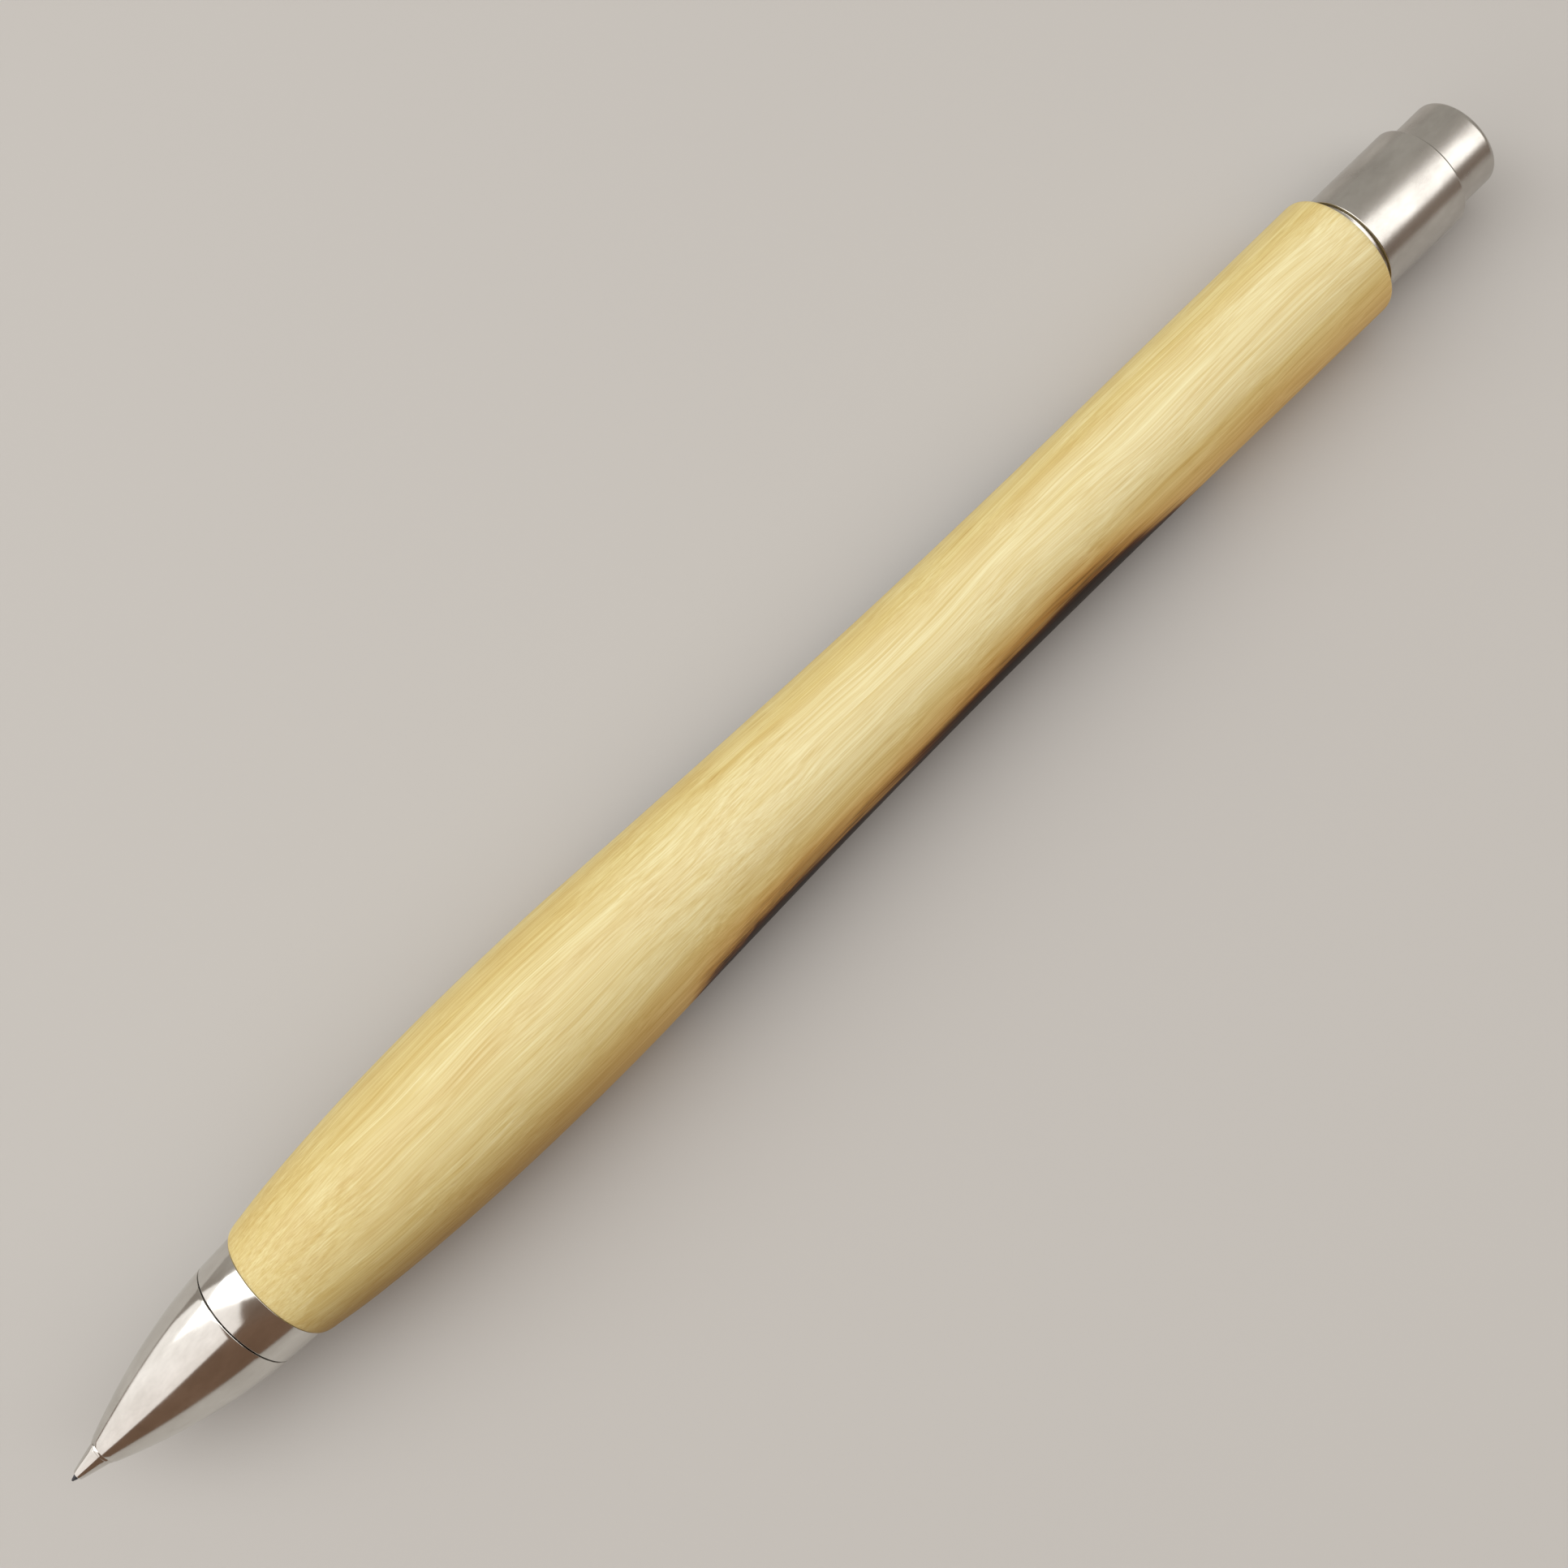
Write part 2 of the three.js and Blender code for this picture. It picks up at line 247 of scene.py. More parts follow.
    # A soft golden-brown stain spreads past the dark wood.
    stain = add(m, "ShaderNodeMapRange", {
        "Value": depth, "From Min": -12.0, "From Max": 14.0, "To Min": 0.0, "To Max": 0.85,
    }, interpolation_type="SMOOTHSTEP").outputs["Result"]
    sapwood_colour = add(m, "ShaderNodeMix", {0: stain, 6: pale, 7: linear("#B07F38")},
                  data_type="RGBA").outputs[2]
    core = add(m, "ShaderNodeMapRange", {
        "Value": depth, "From Min": 10.0, "From Max": 30.0,
    }).outputs["Result"]
    heart = add(m, "ShaderNodeValToRGB", {"Fac": core}, stops=[
        (0.1, "#A8742E"), (0.3, "#7C4A17"), (0.6, "#482709"), (0.95, "#2A1504"),
    ]).outputs["Color"]
    threads = add(m, "ShaderNodeValToRGB", {"Fac": fibres}, stops=[
        (0.35, "#7C7C7C"), (0.65, "#FFFFFF"),
    ]).outputs["Color"]
    heart = add(m, "ShaderNodeMix", {0: 1.0, 6: heart, 7: threads},
                data_type="RGBA", blend_type="MULTIPLY").outputs[2]
    is_heart = add(m, "ShaderNodeMapRange", {
        "Value": depth, "From Min": 2.0, "From Max": 18.0,
    }).outputs["Result"]

    # Painted sheen: a paler band along the top stands for the overhead lamp's soft reflection in
    # the lacquer, and grows towards the button.
    upward = add(m, "ShaderNodeVectorMath", {0: outward.outputs[0], 1: (0, -0.14, 0.99)},
                 operation="DOT_PRODUCT").outputs["Value"]
    painted_sheen = add(m, "ShaderNodeMapRange", {
        "Value": upward, "From Min": 0.72, "From Max": 0.99, "To Min": 0.0, "To Max": 0.55,
    }, interpolation_type="SMOOTHSTEP").outputs["Result"]
    sheen_along = add(m, "ShaderNodeMapRange", {
        "Value": along, "From Min": 25.0, "From Max": 70.0, "To Min": 0.3, "To Max": 1.0,
    }).outputs["Result"]
    painted_sheen = add(m, "ShaderNodeMath", {0: painted_sheen, 1: sheen_along}, operation="MULTIPLY").outputs[0]
    sapwood_colour = add(m, "ShaderNodeMix", {0: painted_sheen, 6: sapwood_colour, 7: linear("#F0EDC8")},
                  data_type="RGBA").outputs[2]
    # Painted shade: down the side that runs into the heartwood, away from the overhead lamp, the
    # sapwood is tinted a darker, warmer gold, deepest at the front of the grip.
    gold = add(m, "ShaderNodeMapRange", {"Value": along, "From Min": 25.0, "From Max": 62.0})
    gold = add(m, "ShaderNodeValToRGB", {"Fac": gold.outputs["Result"]}, stops=[
        (0.0, "#9A7736"), (0.45, "#B08C4E"), (1.0, "#EAC67F"),
    ]).outputs["Color"]
    side_shade = add(m, "ShaderNodeMapRange", {
        "Value": angle, "From Min": 132.0, "From Max": 78.0, "To Min": 0.0, "To Max": 0.8,
    }, interpolation_type="SMOOTHSTEP").outputs["Result"]
    sapwood_colour = add(m, "ShaderNodeMix", {0: side_shade, 6: sapwood_colour, 7: gold},
                  data_type="RGBA").outputs[2]
    # Fine parallel fibres and broader soft streaks shade all of the sapwood.
    for scale, dark in [((0.045, 9.0, 9.0), "#EFE7D6"), ((0.02, 3.6, 3.6), "#F3EBD8")]:
        streaks = add(m, "ShaderNodeValToRGB", {"Fac": grain_noise(scale, 4)}, stops=[
            (0.32, dark), (0.64, "#FFFFFF"),
        ]).outputs["Color"]
        sapwood_colour = add(m, "ShaderNodeMix", {0: 1.0, 6: sapwood_colour, 7: streaks},
                      data_type="RGBA", blend_type="MULTIPLY").outputs[2]
    colour = add(m, "ShaderNodeMix", {0: is_heart, 6: sapwood_colour, 7: heart}, data_type="RGBA")

    bump = add(m, "ShaderNodeBump", {"Height": fibres, "Strength": 0.06, "Distance": 0.02 * MM})
    shader = add(m, "ShaderNodeBsdfPrincipled", {
        "Base Color": colour.outputs[2], "Normal": bump.outputs["Normal"], "Roughness": 0.5,
        "Specular IOR Level": 0.1, "Coat Weight": 0.09, "Coat Roughness": 0.25,
        "Coat IOR": 1.5, "IOR": 1.5,
    })
    add(m, "ShaderNodeOutputMaterial", {"Surface": shader.outputs["BSDF"]})
    return m


BARREL_FRONT = 20
BARREL_REAR = 127.6
BARREL_BORE = 3.55
GRIP, GRIP_RADIUS = 42.7, 6.57
REAR_RADIUS = 5.2
front_shoulder, rear_shoulder = (21.2, 5.18), (127, REAR_RADIUS)
belly = smooth_through([
    front_shoulder, (24.3, 5.62), (29.6, 6.1), (35.7, 6.43), (GRIP, GRIP_RADIUS),
    (51.2, 6.47), (61.2, 6.04), (72.8, 5.6), (85.3, 5.27), (98.4, 5.15), (112.4, 5.17),
    rear_shoulder,
], 10)
front_edge = bend((BARREL_FRONT, 4.64), (BARREL_FRONT, 5.06), front_shoulder)
rear_edge = bend(rear_shoulder, (BARREL_REAR, REAR_RADIUS), (BARREL_REAR, 4.65))
barrel = turn("wooden_barrel", [
    *front_edge, *belly[1:-1], *rear_edge, (BARREL_REAR, BARREL_BORE),
    (BARREL_FRONT, BARREL_BORE),
], edge=0)
place(barrel, "barrel", "wood_barrel", lacquered_boxwood())


# ---------------------------------------------------------------------------------------
# Barrel liner: drawn brass tube glued into the bored blank, which both metal ends plug into.
def turned_brass():
    """Warm yellow metal with fine ring marks from the lathe and patches of dull tarnish."""
    m = new_material("turned_brass")
    mm = add(m, "ShaderNodeMapping", {
        "Vector": add(m, "ShaderNodeTexCoord").outputs["Object"], "Scale": (1 / MM,) * 3,
    }).outputs["Vector"]
    marks = add(m, "ShaderNodeTexNoise", {
        "Vector": add(m, "ShaderNodeMapping", {"Vector": mm, "Scale": (14, 0.3, 0.3)})
        .outputs["Vector"], "Scale": 1.0, "Detail": 3,
    }).outputs["Fac"]
    tarnish = add(m, "ShaderNodeTexNoise", {"Vector": mm, "Scale": 0.35, "Detail": 4})
    colour = add(m, "ShaderNodeValToRGB", {"Fac": tarnish.outputs["Fac"]}, stops=[
        (0.35, "#A9823A"), (0.6, "#D3AE5C"),
    ])
    roughness = add(m, "ShaderNodeMapRange", {
        "Value": tarnish.outputs["Fac"], "To Min": 0.4, "To Max": 0.16,
    })
    bump = add(m, "ShaderNodeBump", {"Height": marks, "Strength": 0.3, "Distance": 0.01 * MM})
    shader = add(m, "ShaderNodeBsdfPrincipled", {
        "Base Color": colour.outputs["Color"], "Metallic": 1.0,
        "Roughness": roughness.outputs["Result"], "Normal": bump.outputs["Normal"],
    })
    add(m, "ShaderNodeOutputMaterial", {"Surface": shader.outputs["BSDF"]})
    return m


brass = turned_brass()
LINER_RADIUS, LINER_BORE = 3.5, 3.2
liner = turn("brass_liner", [
    (20.3, LINER_RADIUS), (127.4, LINER_RADIUS), (127.4, LINER_BORE), (20.3, LINER_BORE),
], steps=96)
place(liner, "barrel", "barrel_liner", brass)


# ---------------------------------------------------------------------------------------
# Front ferrule: polished stainless ring against the wood. Its threaded nose carries the
# nose cone and its long plain tail is pressed into the liner.
def polished_stainless():
    """Bright neutral mirror, barely softened by buffing: hairline marks round the piece and
    faint handling smears in the gloss."""
    m = new_material("polished_stainless")
    mm = add(m, "ShaderNodeMapping", {
        "Vector": add(m, "ShaderNodeTexCoord").outputs["Object"], "Scale": (1 / MM,) * 3,
    }).outputs["Vector"]
    hairlines = add(m, "ShaderNodeTexNoise", {
        "Vector": add(m, "ShaderNodeMapping", {"Vector": mm, "Scale": (22, 0.5, 0.5)})
        .outputs["Vector"], "Scale": 1.0, "Detail": 4,
    }).outputs["Fac"]
    smears = add(m, "ShaderNodeTexNoise", {
        "Vector": add(m, "ShaderNodeMapping", {"Vector": mm, "Scale": (0.25, 0.6, 0.6)})
        .outputs["Vector"], "Scale": 1.0, "Detail": 5, "Roughness": 0.65,
    }).outputs["Fac"]
    colour = add(m, "ShaderNodeValToRGB", {"Fac": smears}, stops=[
        (0.3, "#C9C6C0"), (0.7, "#DDDBD6"),
    ])
    roughness = add(m, "ShaderNodeMapRange", {"Value": smears, "To Min": 0.07, "To Max": 0.19})
    bump = add(m, "ShaderNodeBump", {
        "Height": hairlines, "Strength": 0.08, "Distance": 0.01 * MM,
    })
    shader = add(m, "ShaderNodeBsdfPrincipled", {
        "Base Color": colour.outputs["Color"], "Metallic": 1.0,
        "Roughness": roughness.outputs["Result"], "Normal": bump.outputs["Normal"],
    })
    add(m, "ShaderNodeOutputMaterial", {"Surface": shader.outputs["BSDF"]})
    return m


def thread(front, rear, crest, root, pitch=0.7):
    """The outline of a screw thread drawn as rings, from front to rear."""
    points = []
    for k in range(int((rear - front) / pitch)):
        x = front + k * pitch
        points += [(x, root), (x + 0.4 * pitch, crest), (x + 0.55 * pitch, crest)]
    return [*points, (points[-1][0] + 0.45 * pitch, root)]


polished = polished_stainless()
NOSE_REAR = 16.8
SPIGOT_RADIUS = 3.12
ferrule_front, ferrule_rear = NOSE_REAR + 0.1, BARREL_FRONT - 0.03
ferrule = turn("front_ferrule_ring", [
    (12.3, 3.1), *thread(12.6, 16.4, 3.34, SPIGOT_RADIUS), (ferrule_front, SPIGOT_RADIUS),
    (ferrule_front, 4.52), (ferrule_front + 0.05, 4.58), (ferrule_rear, 4.73),
    (ferrule_rear, SPIGOT_RADIUS), (27, SPIGOT_RADIUS), (27, 2.5), (12.3, 2.5),
], edge=0.03)
place(ferrule, "barrel", "front_ferrule", polished)


# ---------------------------------------------------------------------------------------
# Chuck sleeve: turned brass housing of the clutch, screwed into the ferrule up to its
# flange. Steps in its bore stop the clutch ring and seat the return spring.
HOUSING_RADIUS, HOUSING_BORE, HOUSING_REAR = 2.42, 1.95, 38
housing = turn("chuck_housing", [
    (11.9, 2.22), (12.1, HOUSING_RADIUS), (27.1, HOUSING_RADIUS), (27.1, 3.05), (28.1, 3.05),
    (28.1, HOUSING_RADIUS), (HOUSING_REAR, HOUSING_RADIUS), (HOUSING_REAR, HOUSING_BORE),
    (18, HOUSING_BORE), (18, 1.32), (16.5, 1.32), (16.5, 2.02), (13.3, 2.02), (13.3, 1.6),
    (11.9, 1.6),
], steps=72, edge=0.04)
place(housing, "barrel", "chuck_sleeve", brass)


# ---------------------------------------------------------------------------------------
# Return spring: nine turns of hard-drawn wire round the stem of the chuck. It shortens
# towards its front seat when the button is pushed.
def drawn_spring_wire():
    """Grey steel with a dull drawn skin: fine streaks, and a darker cast in places."""
    m = new_material("drawn_spring_wire")
    streaks = add(m, "ShaderNodeTexNoise", {
        "Vector": add(m, "ShaderNodeTexCoord").outputs["Object"], "Scale": 2 / MM, "Detail": 4,
    }).outputs["Fac"]
    colour = add(m, "ShaderNodeValToRGB", {"Fac": streaks}, stops=[
        (0.35, "#7C7A77"), (0.65, "#A9A7A3"),
    ])
    roughness = add(m, "ShaderNodeMapRange", {"Value": streaks, "To Min": 0.24, "To Max": 0.42})
    shader = add(m, "ShaderNodeBsdfPrincipled", {
        "Base Color": colour.outputs["Color"], "Metallic": 1.0,
        "Roughness": roughness.outputs["Result"],
    })
    add(m, "ShaderNodeOutputMaterial", {"Surface": shader.outputs["BSDF"]})
    return m


SPRING_FRONT, SPRING_REAR = 18.2, 30.1
turns, steps_a_turn, coil_radius, wire_radius = 9, 40, 1.52, 0.16
bm = bmesh.new()
seat = Matrix.Translation((POINT_X + SPRING_FRONT * MM, 0, AXIS_Z + coil_radius * MM))
bmesh.ops.create_circle(bm, segments=12, radius=wire_radius * MM,
                        matrix=seat @ Matrix.Rotation(math.pi / 2, 4, "X"))
bmesh.ops.spin(bm, geom=[*bm.verts, *bm.edges], cent=(0, 0, AXIS_Z), axis=(1, 0, 0),
               dvec=((SPRING_REAR - SPRING_FRONT) * MM / (turns * steps_a_turn), 0, 0),
               angle=2 * math.pi * turns, steps=turns * steps_a_turn)
bmesh.ops.holes_fill(bm, edges=bm.edges, sides=0)
bmesh.ops.recalc_face_normals(bm, faces=bm.faces)
spring = finish_piece("coil_spring", bm)
place(spring, "barrel", "return_spring", drawn_spring_wire())
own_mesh(spring)


# ---------------------------------------------------------------------------------------
# Chuck: brass collet bored for the lead. Three saw cuts part its head into spring jaws,
# which the clutch ring squeezes shut.
STEM_RADIUS, STEM_BORE, STEM_REAR = 1.05, 0.31, 36.3
chuck = turn("chuck_jaws", [
    (10, 0.75), (10.5, 1.38), (13.2, 1.42), (15.5, STEM_RADIUS), (STEM_REAR, STEM_RADIUS),
    (STEM_REAR, STEM_BORE), (10, STEM_BORE),
], steps=72, edge=0.03)
bm = bmesh.new()
for turn_round in range(3):
    saw = bmesh.ops.create_cube(bm, size=1)["verts"]
    cut_length, cut_width, cut_depth = 15 * MM, 0.18 * MM, 2 * MM
    bmesh.ops.scale(bm, verts=saw, vec=(cut_length, cut_width, cut_depth))
    cut_middle = (POINT_X + 16.5 * MM, 0, AXIS_Z + cut_depth / 2)
    bmesh.ops.translate(bm, verts=saw, vec=cut_middle)
    bmesh.ops.rotate(bm, verts=saw, cent=(0, 0, AXIS_Z),
                     matrix=Matrix.Rotation(turn_round * 2 * math.pi / 3, 3, "X"))
saw_cuts = finish_piece("saw_cuts", bm)
cut = chuck.modifiers.new("saw_cuts", "BOOLEAN")
cut.object = saw_cuts
cut.solver = "EXACT"
chuck.modifiers.move(1, 0)
whole = chuck.data
chuck.data = bpy.data.meshes.new_from_object(
    chuck.evaluated_get(bpy.context.evaluated_depsgraph_get()))
chuck.modifiers.clear()
bpy.data.meshes.remove(whole)
bpy.data.objects.remove(saw_cuts)
place(chuck, "carriage", "chuck", brass)

# Clutch ring: small brass ring with a tapered bore, loose round the jaws.
ring = turn("clutch_closing_ring", [
    (13.95, 1.94), (16.4, 1.94), (16.4, 1.14), (15.5, 1.14), (13.95, 1.42),
], steps=72, edge=0.04)
place(ring, "clutch", "clutch_ring", brass)

# Chuck connector: brass bush pressed on the chuck's stem and into the lead tube.
connector = turn("chuck_bush", [
    (30.3, 1.87), (37.8, 1.87), (37.8, 1.42), (46, 1.42), (46, 1), (45.4, 0.5), (36.5, 0.5),
    (36.5, 1.11), (30.3, 1.11),
], steps=72, edge=0.04)
place(connector, "carriage", "chuck_connector", brass)


# ---------------------------------------------------------------------------------------
# Lead tube: extruded natural polypropylene, pushed on the chuck's bush. It stores the
# spare leads and carries the button's push to the chuck.
def natural_polypropylene():
    """Cloudy uncoloured plastic that lets some light through, with faint draw lines."""
    m = new_material("natural_polypropylene")
    mm = add(m, "ShaderNodeMapping", {
        "Vector": add(m, "ShaderNodeTexCoord").outputs["Object"],
        "Scale": (0.1 / MM, 3 / MM, 3 / MM),
    }).outputs["Vector"]
    lines = add(m, "ShaderNodeTexNoise", {"Vector": mm, "Scale": 1.0, "Detail": 4})
    colour = add(m, "ShaderNodeValToRGB", {"Fac": lines.outputs["Fac"]}, stops=[
        (0.35, "#D5D8D6"), (0.65, "#E9EBE9"),
    ])
    bump = add(m, "ShaderNodeBump", {
        "Height": lines.outputs["Fac"], "Strength": 0.2, "Distance": 0.02 * MM,
    })
    shader = add(m, "ShaderNodeBsdfPrincipled", {
        "Base Color": colour.outputs["Color"], "Normal": bump.outputs["Normal"],
        "Roughness": 0.32, "IOR": 1.49, "Transmission Weight": 0.55,
    })
    add(m, "ShaderNodeOutputMaterial", {"Surface": shader.outputs["BSDF"]})
    return m


TUBE_RADIUS, TUBE_BORE, TUBE_FRONT, TUBE_REAR = 1.85, 1.5, 38.3, 131.6
tube = turn("spare_lead_store", [
    (TUBE_FRONT, TUBE_RADIUS), (TUBE_REAR, TUBE_RADIUS), (TUBE_REAR, TUBE_BORE),
    (TUBE_FRONT, TUBE_BORE),
], steps=72, edge=0.04)
place(tube, "carriage", "lead_tube", natural_polypropylene())


# ---------------------------------------------------------------------------------------
# Leads: 0.5 mm polymer graphite rods. The one in the clutch is worn to a point by writing;
# three spares lie loose along the bottom of the tube.
def polymer_graphite():
    """Very dark grey with a soft metallic sheen and a fine burnished grain."""
    m = new_material("polymer_graphite")
    grain = add(m, "ShaderNodeTexNoise", {
        "Vector": add(m, "ShaderNodeTexCoord").outputs["Object"], "Scale": 12 / MM, "Detail": 3,
    })
    colour = add(m, "ShaderNodeValToRGB", {"Fac": grain.outputs["Fac"]}, stops=[
        (0.35, "#26272B"), (0.65, "#45464C"),
    ])
    bump = add(m, "ShaderNodeBump", {
        "Height": grain.outputs["Fac"], "Strength": 0.3, "Distance": 0.005 * MM,
    })
    shader = add(m, "ShaderNodeBsdfPrincipled", {
        "Base Color": colour.outputs["Color"], "Metallic": 0.35, "Roughness": 0.42,
        "Normal": bump.outputs["Normal"],
    })
    add(m, "ShaderNodeOutputMaterial", {"Surface": shader.outputs["BSDF"]})
    return m


graphite = polymer_graphite()
LEAD_RADIUS, LEAD_LENGTH = 0.25, 60
lead = turn("writing_lead_rod", [
    (0, 0), (0, 0.05), (0.04, 0.085), (0.5, LEAD_RADIUS), (LEAD_LENGTH, LEAD_RADIUS),
    (LEAD_LENGTH, 0),
], steps=32, edge=0)
place(lead, "lead", "writing_lead", graphite)
for number in (1, 2, 3):
    start = 56 + 1.5 * number
    spare = turn(f"spare_lead_rod_{number}", [
        (start, 0), (start, LEAD_RADIUS), (start + LEAD_LENGTH, LEAD_RADIUS),
        (start + LEAD_LENGTH, 0),
    ], steps=32, edge=0.02)
    angle_along_bottom = (number - 2) * 0.56
    to_wall = (TUBE_BORE - LEAD_RADIUS - 0.06) * MM
    spare.data.transform(Matrix.Translation((
        0, to_wall * math.sin(angle_along_bottom), -to_wall * math.cos(angle_along_bottom),
    )))
    place(spare, "carriage", f"spare_lead_{number}", graphite)


# ---------------------------------------------------------------------------------------
# Guide tip: turned and polished steel cone that guides the lead, held in the nose cone by
# its flange. A bevelled ring stands where it leaves the cone.
guide = turn("lead_guide", [
    (0.55, 0.34), *bend((0.62, 0.42), (1.9, 0.78), (2.88, 1.0), 6), (2.96, 1.0), (3.04, 1.12),
    (3.26, 1.12), (3.28, 0.95), (5.2, 0.95), (5.2, 1.3), (6.2, 1.3), (6.2, 0.84), (4.4, 0.84),
    (4.4, 0.29), (0.55, 0.29),
], steps=72, edge=0.02)
place(guide, "nose", "guide_tip", polished)


# Lead retainer: soft black bush pressed into the guide tip. It grips the lead while the
# jaws are open.
def moulded_rubber():
    """Dull black with a fine moulded grain."""
    m = new_material("moulded_rubber")
    grain = add(m, "ShaderNodeTexNoise", {
        "Vector": add(m, "ShaderNodeTexCoord").outputs["Object"], "Scale": 9 / MM, "Detail": 4,
    })
    colour = add(m, "ShaderNodeValToRGB", {"Fac": grain.outputs["Fac"]}, stops=[
        (0.35, "#161616"), (0.7, "#262524"),
    ])
    bump = add(m, "ShaderNodeBump", {
        "Height": grain.outputs["Fac"], "Strength": 0.5, "Distance": 0.01 * MM,
    })
    shader = add(m, "ShaderNodeBsdfPrincipled", {
        "Base Color": colour.outputs["Color"], "Roughness": 0.75, "IOR": 1.5,
        "Normal": bump.outputs["Normal"],
    })
    add(m, "ShaderNodeOutputMaterial", {"Surface": shader.outputs["BSDF"]})
    return m


retainer = turn("lead_grip_bush", [(4.5, 0.78), (6.1, 0.78), (6.1, 0.29), (4.5, 0.29)],
                steps=48, edge=0.05)
place(retainer, "nose", "lead_retainer", moulded_rubber())


# ---------------------------------------------------------------------------------------
# Nose cone: bullet-shaped polished stainless cone that screws on the ferrule and holds the
# guide tip. A fine groove parts it from the ferrule.
NOSE_RADIUS = 4.56
nose = turn("nose_cone_shell", [
    *bend((3.3, 1.26), (10.5, 4.12), (NOSE_REAR, NOSE_RADIUS), 40),
    (NOSE_REAR + 0.04, NOSE_RADIUS - 0.04), (NOSE_REAR + 0.04, 3.56),
    *reversed(thread(12.9, 16.6, 3.42, 3.62)), (11.6, 3.42), (10.4, 1.75), (6.8, 1.75),
    (6.6, 1.4), (5.1, 1.4), (5.1, 1.02), (3.3, 1.02),
], edge=0.04)
place(nose, "nose", "nose_cone", polished)


# ---------------------------------------------------------------------------------------
# Rear sleeve: satin stainless tube with a recessed neck at the wood, pressed into the liner
# by its spigot. The button runs in it.
def satin_stainless():
    """Warm grey metal turned with a fine feed and left unpolished: very fine rings spread
    its highlights along the pencil, and handling has rubbed it brighter in patches."""
    m = new_material("satin_stainless")
    mm = add(m, "ShaderNodeMapping", {
        "Vector": add(m, "ShaderNodeTexCoord").outputs["Object"], "Scale": (1 / MM,) * 3,
    }).outputs["Vector"]
    feed_marks = add(m, "ShaderNodeTexNoise", {
        "Vector": add(m, "ShaderNodeMapping", {"Vector": mm, "Scale": (18, 0.4, 0.4)})
        .outputs["Vector"], "Scale": 1.0, "Detail": 5, "Roughness": 0.7,
    }).outputs["Fac"]
    rubbed = add(m, "ShaderNodeTexNoise", {
        "Vector": add(m, "ShaderNodeMapping", {"Vector": mm, "Scale": (0.3, 0.5, 0.5)})
        .outputs["Vector"], "Scale": 1.0, "Detail": 4, "Roughness": 0.6,
    }).outputs["Fac"]
    colour = add(m, "ShaderNodeValToRGB", {"Fac": rubbed}, stops=[
        (0.3, "#B7B3AD"), (0.7, "#CCC9C3"),
    ])
    roughness = add(m, "ShaderNodeMapRange", {"Value": rubbed, "To Min": 0.31, "To Max": 0.2})
    bump = add(m, "ShaderNodeBump", {
        "Height": feed_marks, "Strength": 0.12, "Distance": 0.01 * MM,
    })
    shader = add(m, "ShaderNodeBsdfPrincipled", {
        "Base Color": colour.outputs["Color"], "Metallic": 1.0,
        "Roughness": roughness.outputs["Result"], "Normal": bump.outputs["Normal"],
    })
    add(m, "ShaderNodeOutputMaterial", {"Surface": shader.outputs["BSDF"]})
    return m


satin = satin_stainless()
SLEEVE_REAR = 136.05
SLEEVE_RADIUS, SLEEVE_BORE, NECK_RADIUS, SPIGOT_BORE = 4.32, 3.76, 4.02, 2.3
spigot_front, neck_front, neck_rear = 119.5, BARREL_REAR + 0.04, BARREL_REAR + 0.66
bore_floor, bevel, rim = BARREL_REAR + 1, 0.07, 0.15
sleeve = turn("rear_metal_sleeve", [
    (spigot_front, 3.02), (119.8, SPIGOT_RADIUS), (neck_front, SPIGOT_RADIUS),
    (neck_front, NECK_RADIUS), (neck_rear, NECK_RADIUS), (neck_rear, SLEEVE_RADIUS - bevel),
    (neck_rear + bevel, SLEEVE_RADIUS), (SLEEVE_REAR - rim, SLEEVE_RADIUS),
    (SLEEVE_REAR, SLEEVE_RADIUS - rim), (SLEEVE_REAR, SLEEVE_BORE), (bore_floor, SLEEVE_BORE),
    (bore_floor, SPIGOT_BORE), (spigot_front, SPIGOT_BORE),
], edge=0.03)
place(sleeve, "barrel", "rear_sleeve", satin)


# ---------------------------------------------------------------------------------------
# Eraser and its holder: a turned steel cup whose plug closes the lead tube, with a white
# vinyl eraser pushed into it. They come out to load leads.
def white_vinyl():
    """Soft white with a faint waxy glow and grey graphite smudges from use."""
    m = new_material("white_vinyl")
    mm = add(m, "ShaderNodeMapping", {
        "Vector": add(m, "ShaderNodeTexCoord").outputs["Object"], "Scale": (1 / MM,) * 3,
    }).outputs["Vector"]
    smudges = add(m, "ShaderNodeTexNoise", {"Vector": mm, "Scale": 0.8, "Detail": 6})
    grain = add(m, "ShaderNodeTexNoise", {"Vector": mm, "Scale": 9.0, "Detail": 3})
    colour = add(m, "ShaderNodeValToRGB", {"Fac": smudges.outputs["Fac"]}, stops=[
        (0.3, "#CFCDC8"), (0.5, "#EFEDE6"),
    ])
    bump = add(m, "ShaderNodeBump", {
        "Height": grain.outputs["Fac"], "Strength": 0.4, "Distance": 0.01 * MM,
    })
    shader = add(m, "ShaderNodeBsdfPrincipled", {
        "Base Color": colour.outputs["Color"], "Roughness": 0.62, "IOR": 1.53,
        "Subsurface Weight": 0.15, "Subsurface Radius": (0.6 * MM, 0.5 * MM, 0.4 * MM),
        "Subsurface Scale": 1.0, "Normal": bump.outputs["Normal"],
    })
    add(m, "ShaderNodeOutputMaterial", {"Surface": shader.outputs["BSDF"]})
    return m


rubber_plug = turn("eraser_plug", [
    (132.5, 0), (132.5, 2.2), (138.1, 2.2), (138.5, 1.85), (138.5, 0),
], steps=72, edge=0.12)
place(rubber_plug, "eraser_plug", "eraser", white_vinyl())
holder = turn("eraser_cup", [
    (126.5, 0), (126.5, 1.3), (126.7, 1.42), (131.8, 1.42), (131.8, 2.78), (135.8, 2.78),
    (135.8, 2.28), (132.4, 2.28), (132.4, 0),
], steps=72, edge=0.05)
place(holder, "eraser_plug", "eraser_holder", satin)


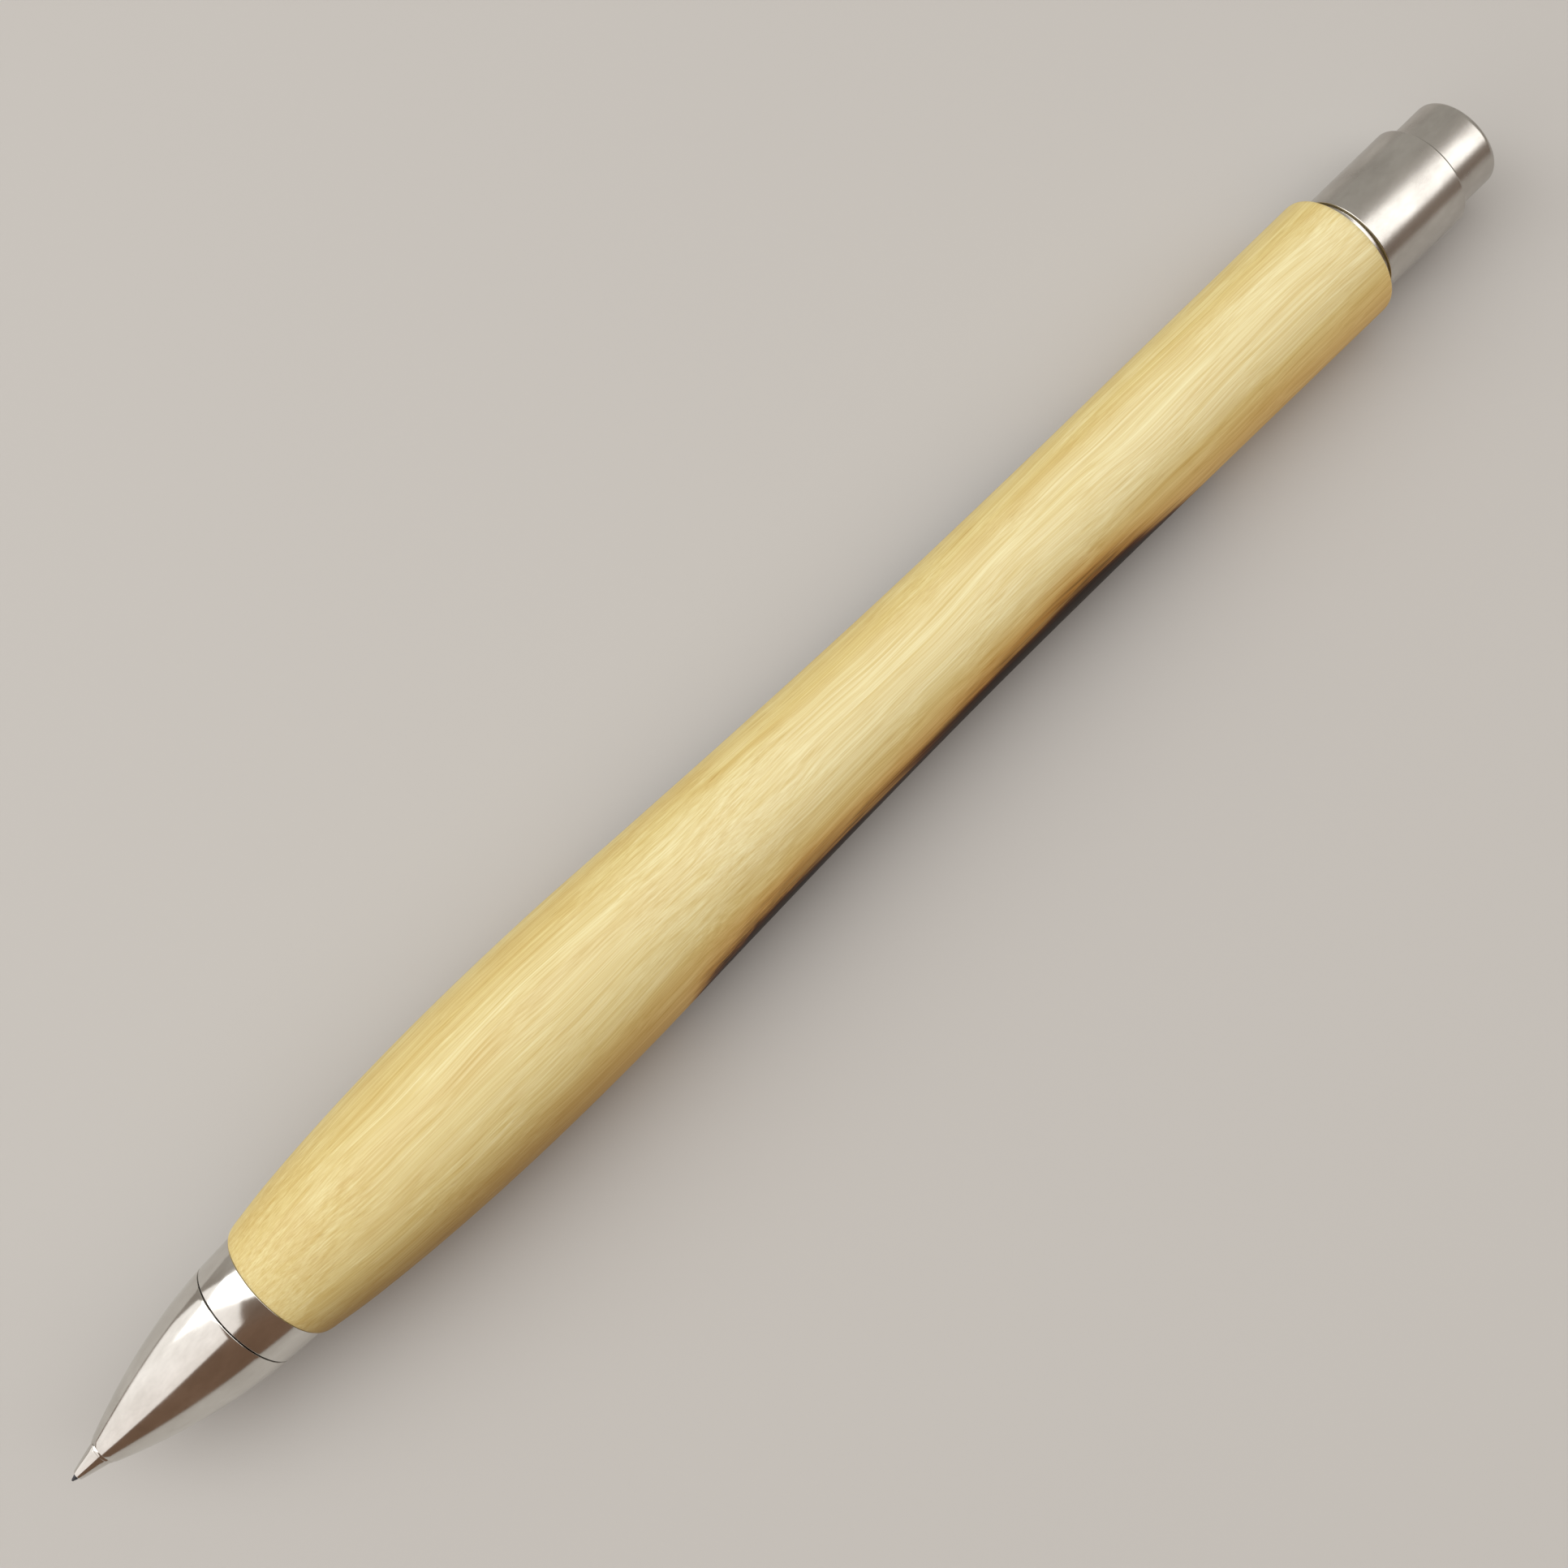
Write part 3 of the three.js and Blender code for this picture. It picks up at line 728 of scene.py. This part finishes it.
# ---------------------------------------------------------------------------------------
# Push button: satin stainless cap with a rounded rim and a very slightly domed end. It
# slips over the eraser's cup and pulls off.
LENGTH = 140
BUTTON_RADIUS = 3.68
button = turn("button_cap", [
    (138.95, 0), (138.95, 2.86), (131.75, 2.86), (131.75, 3.58), (131.85, BUTTON_RADIUS),
    *bend((LENGTH - 0.5, BUTTON_RADIUS), (LENGTH - 0.1, BUTTON_RADIUS), (LENGTH - 0.05, 3.2)),
    (LENGTH - 0.02, 2.4), (LENGTH, 1.6), (LENGTH, 0),
], edge=0.03)
place(button, "button", "push_button", satin)


# ---------------------------------------------------------------------------------------
# Studio: a pale floor that the grip and the rear end of the barrel both touch, a long soft
# lamp overhead, a weaker window beyond the point, and the camera over the pencil.
def place_camera():
    turned = math.radians(44.04)
    towards_tip = math.radians(2.4)
    towards_side = math.radians(12)
    distance = 123.9 * MM
    aim = Vector((0.74 * MM, 0, AXIS_Z))
    aside = 0.42 * MM
    back = Vector((
        -math.sin(towards_tip),
        -math.sin(towards_side) * math.cos(towards_tip),
        math.cos(towards_side) * math.cos(towards_tip),
    ))
    pencil = (Vector((1, 0, 0)) - back * back.x).normalized()
    across = pencil.cross(back)
    right = pencil * math.cos(turned) + across * math.sin(turned)
    up = pencil * math.sin(turned) - across * math.cos(turned)
    data = bpy.data.cameras.new("camera")
    data.sensor_width = 36
    data.lens = 39.13
    data.clip_start = 0.01
    camera = bpy.data.objects.new("camera", data)
    pose = Matrix((right, up, back)).transposed().to_4x4()
    pose.translation = aim + back * distance - across * aside
    camera.matrix_world = pose
    bpy.context.scene.collection.objects.link(camera)
    bpy.context.scene.camera = camera


place_camera()

bm = bmesh.new()
bmesh.ops.create_grid(bm, x_segments=1, y_segments=1, size=2)
grip_foot = Vector((POINT_X + GRIP * MM, 0, AXIS_Z - GRIP_RADIUS * MM))
rear_foot = Vector((POINT_X + 126.9 * MM, 0, AXIS_Z - REAR_RADIUS * MM))
slope = math.atan2(rear_foot.z - grip_foot.z, rear_foot.x - grip_foot.x)
bmesh.ops.rotate(bm, verts=bm.verts, cent=(0, 0, 0), matrix=Matrix.Rotation(-slope, 3, "Y"))
bmesh.ops.translate(bm, verts=bm.verts, vec=grip_foot)
mesh = bpy.data.meshes.new("floor")
bm.to_mesh(mesh)
bm.free()
floor = bpy.data.objects.new("floor", mesh)
bpy.context.scene.collection.objects.link(floor)
m = new_material("pale_paper")
shader = add(m, "ShaderNodeBsdfPrincipled", {"Base Color": linear("#B7B5B1"), "Roughness": 0.85})
add(m, "ShaderNodeOutputMaterial", {"Surface": shader.outputs["BSDF"]})
mesh.materials.append(m)

for name, spot, length, width, turned, power in [
    ("overhead_strip", (0.02, 0.055, 0.5), 1.9, 0.36, -51, 4.5),
    ("window", (-0.48, 0.2, 0.36), 0.85, 0.75, None, 1.95),
]:
    data = bpy.data.lights.new(name, "AREA")
    data.shape = "RECTANGLE"
    data.size, data.size_y = length, width
    data.energy = power
    lamp = bpy.data.objects.new(name, data)
    lamp.location = spot
    lamp.rotation_mode = "QUATERNION"
    if turned is None:
        lamp.rotation_quaternion = Vector(spot).to_track_quat("Z", "Y")
    else:
        lamp.rotation_quaternion = Matrix.Rotation(math.radians(turned), 3, "Z").to_quaternion()
    bpy.context.scene.collection.objects.link(lamp)

# The room is pale grey on the far side, towards the button, and brown on the near side.
world = bpy.data.worlds.new("studio")
world.use_nodes = True
direction = add(world, "ShaderNodeTexCoord").outputs["Generated"]
across_room = add(world, "ShaderNodeVectorMath", {0: direction, 1: (0.7, 0.7, 0)},
                  operation="DOT_PRODUCT").outputs["Value"]
share = add(world, "ShaderNodeMapRange", {
    "Value": across_room, "From Min": -0.7, "From Max": 0.7,
})
walls = add(world, "ShaderNodeValToRGB", {"Fac": share.outputs["Result"]}, stops=[
    (0.0, "#7C6250"), (0.35, "#8A7A6E"), (1.0, "#B9B5AE"),
])
world.node_tree.links.new(walls.outputs["Color"],
                          world.node_tree.nodes["Background"].inputs["Color"])
bpy.context.scene.world = world
bpy.context.scene.view_settings.view_transform = "Standard"
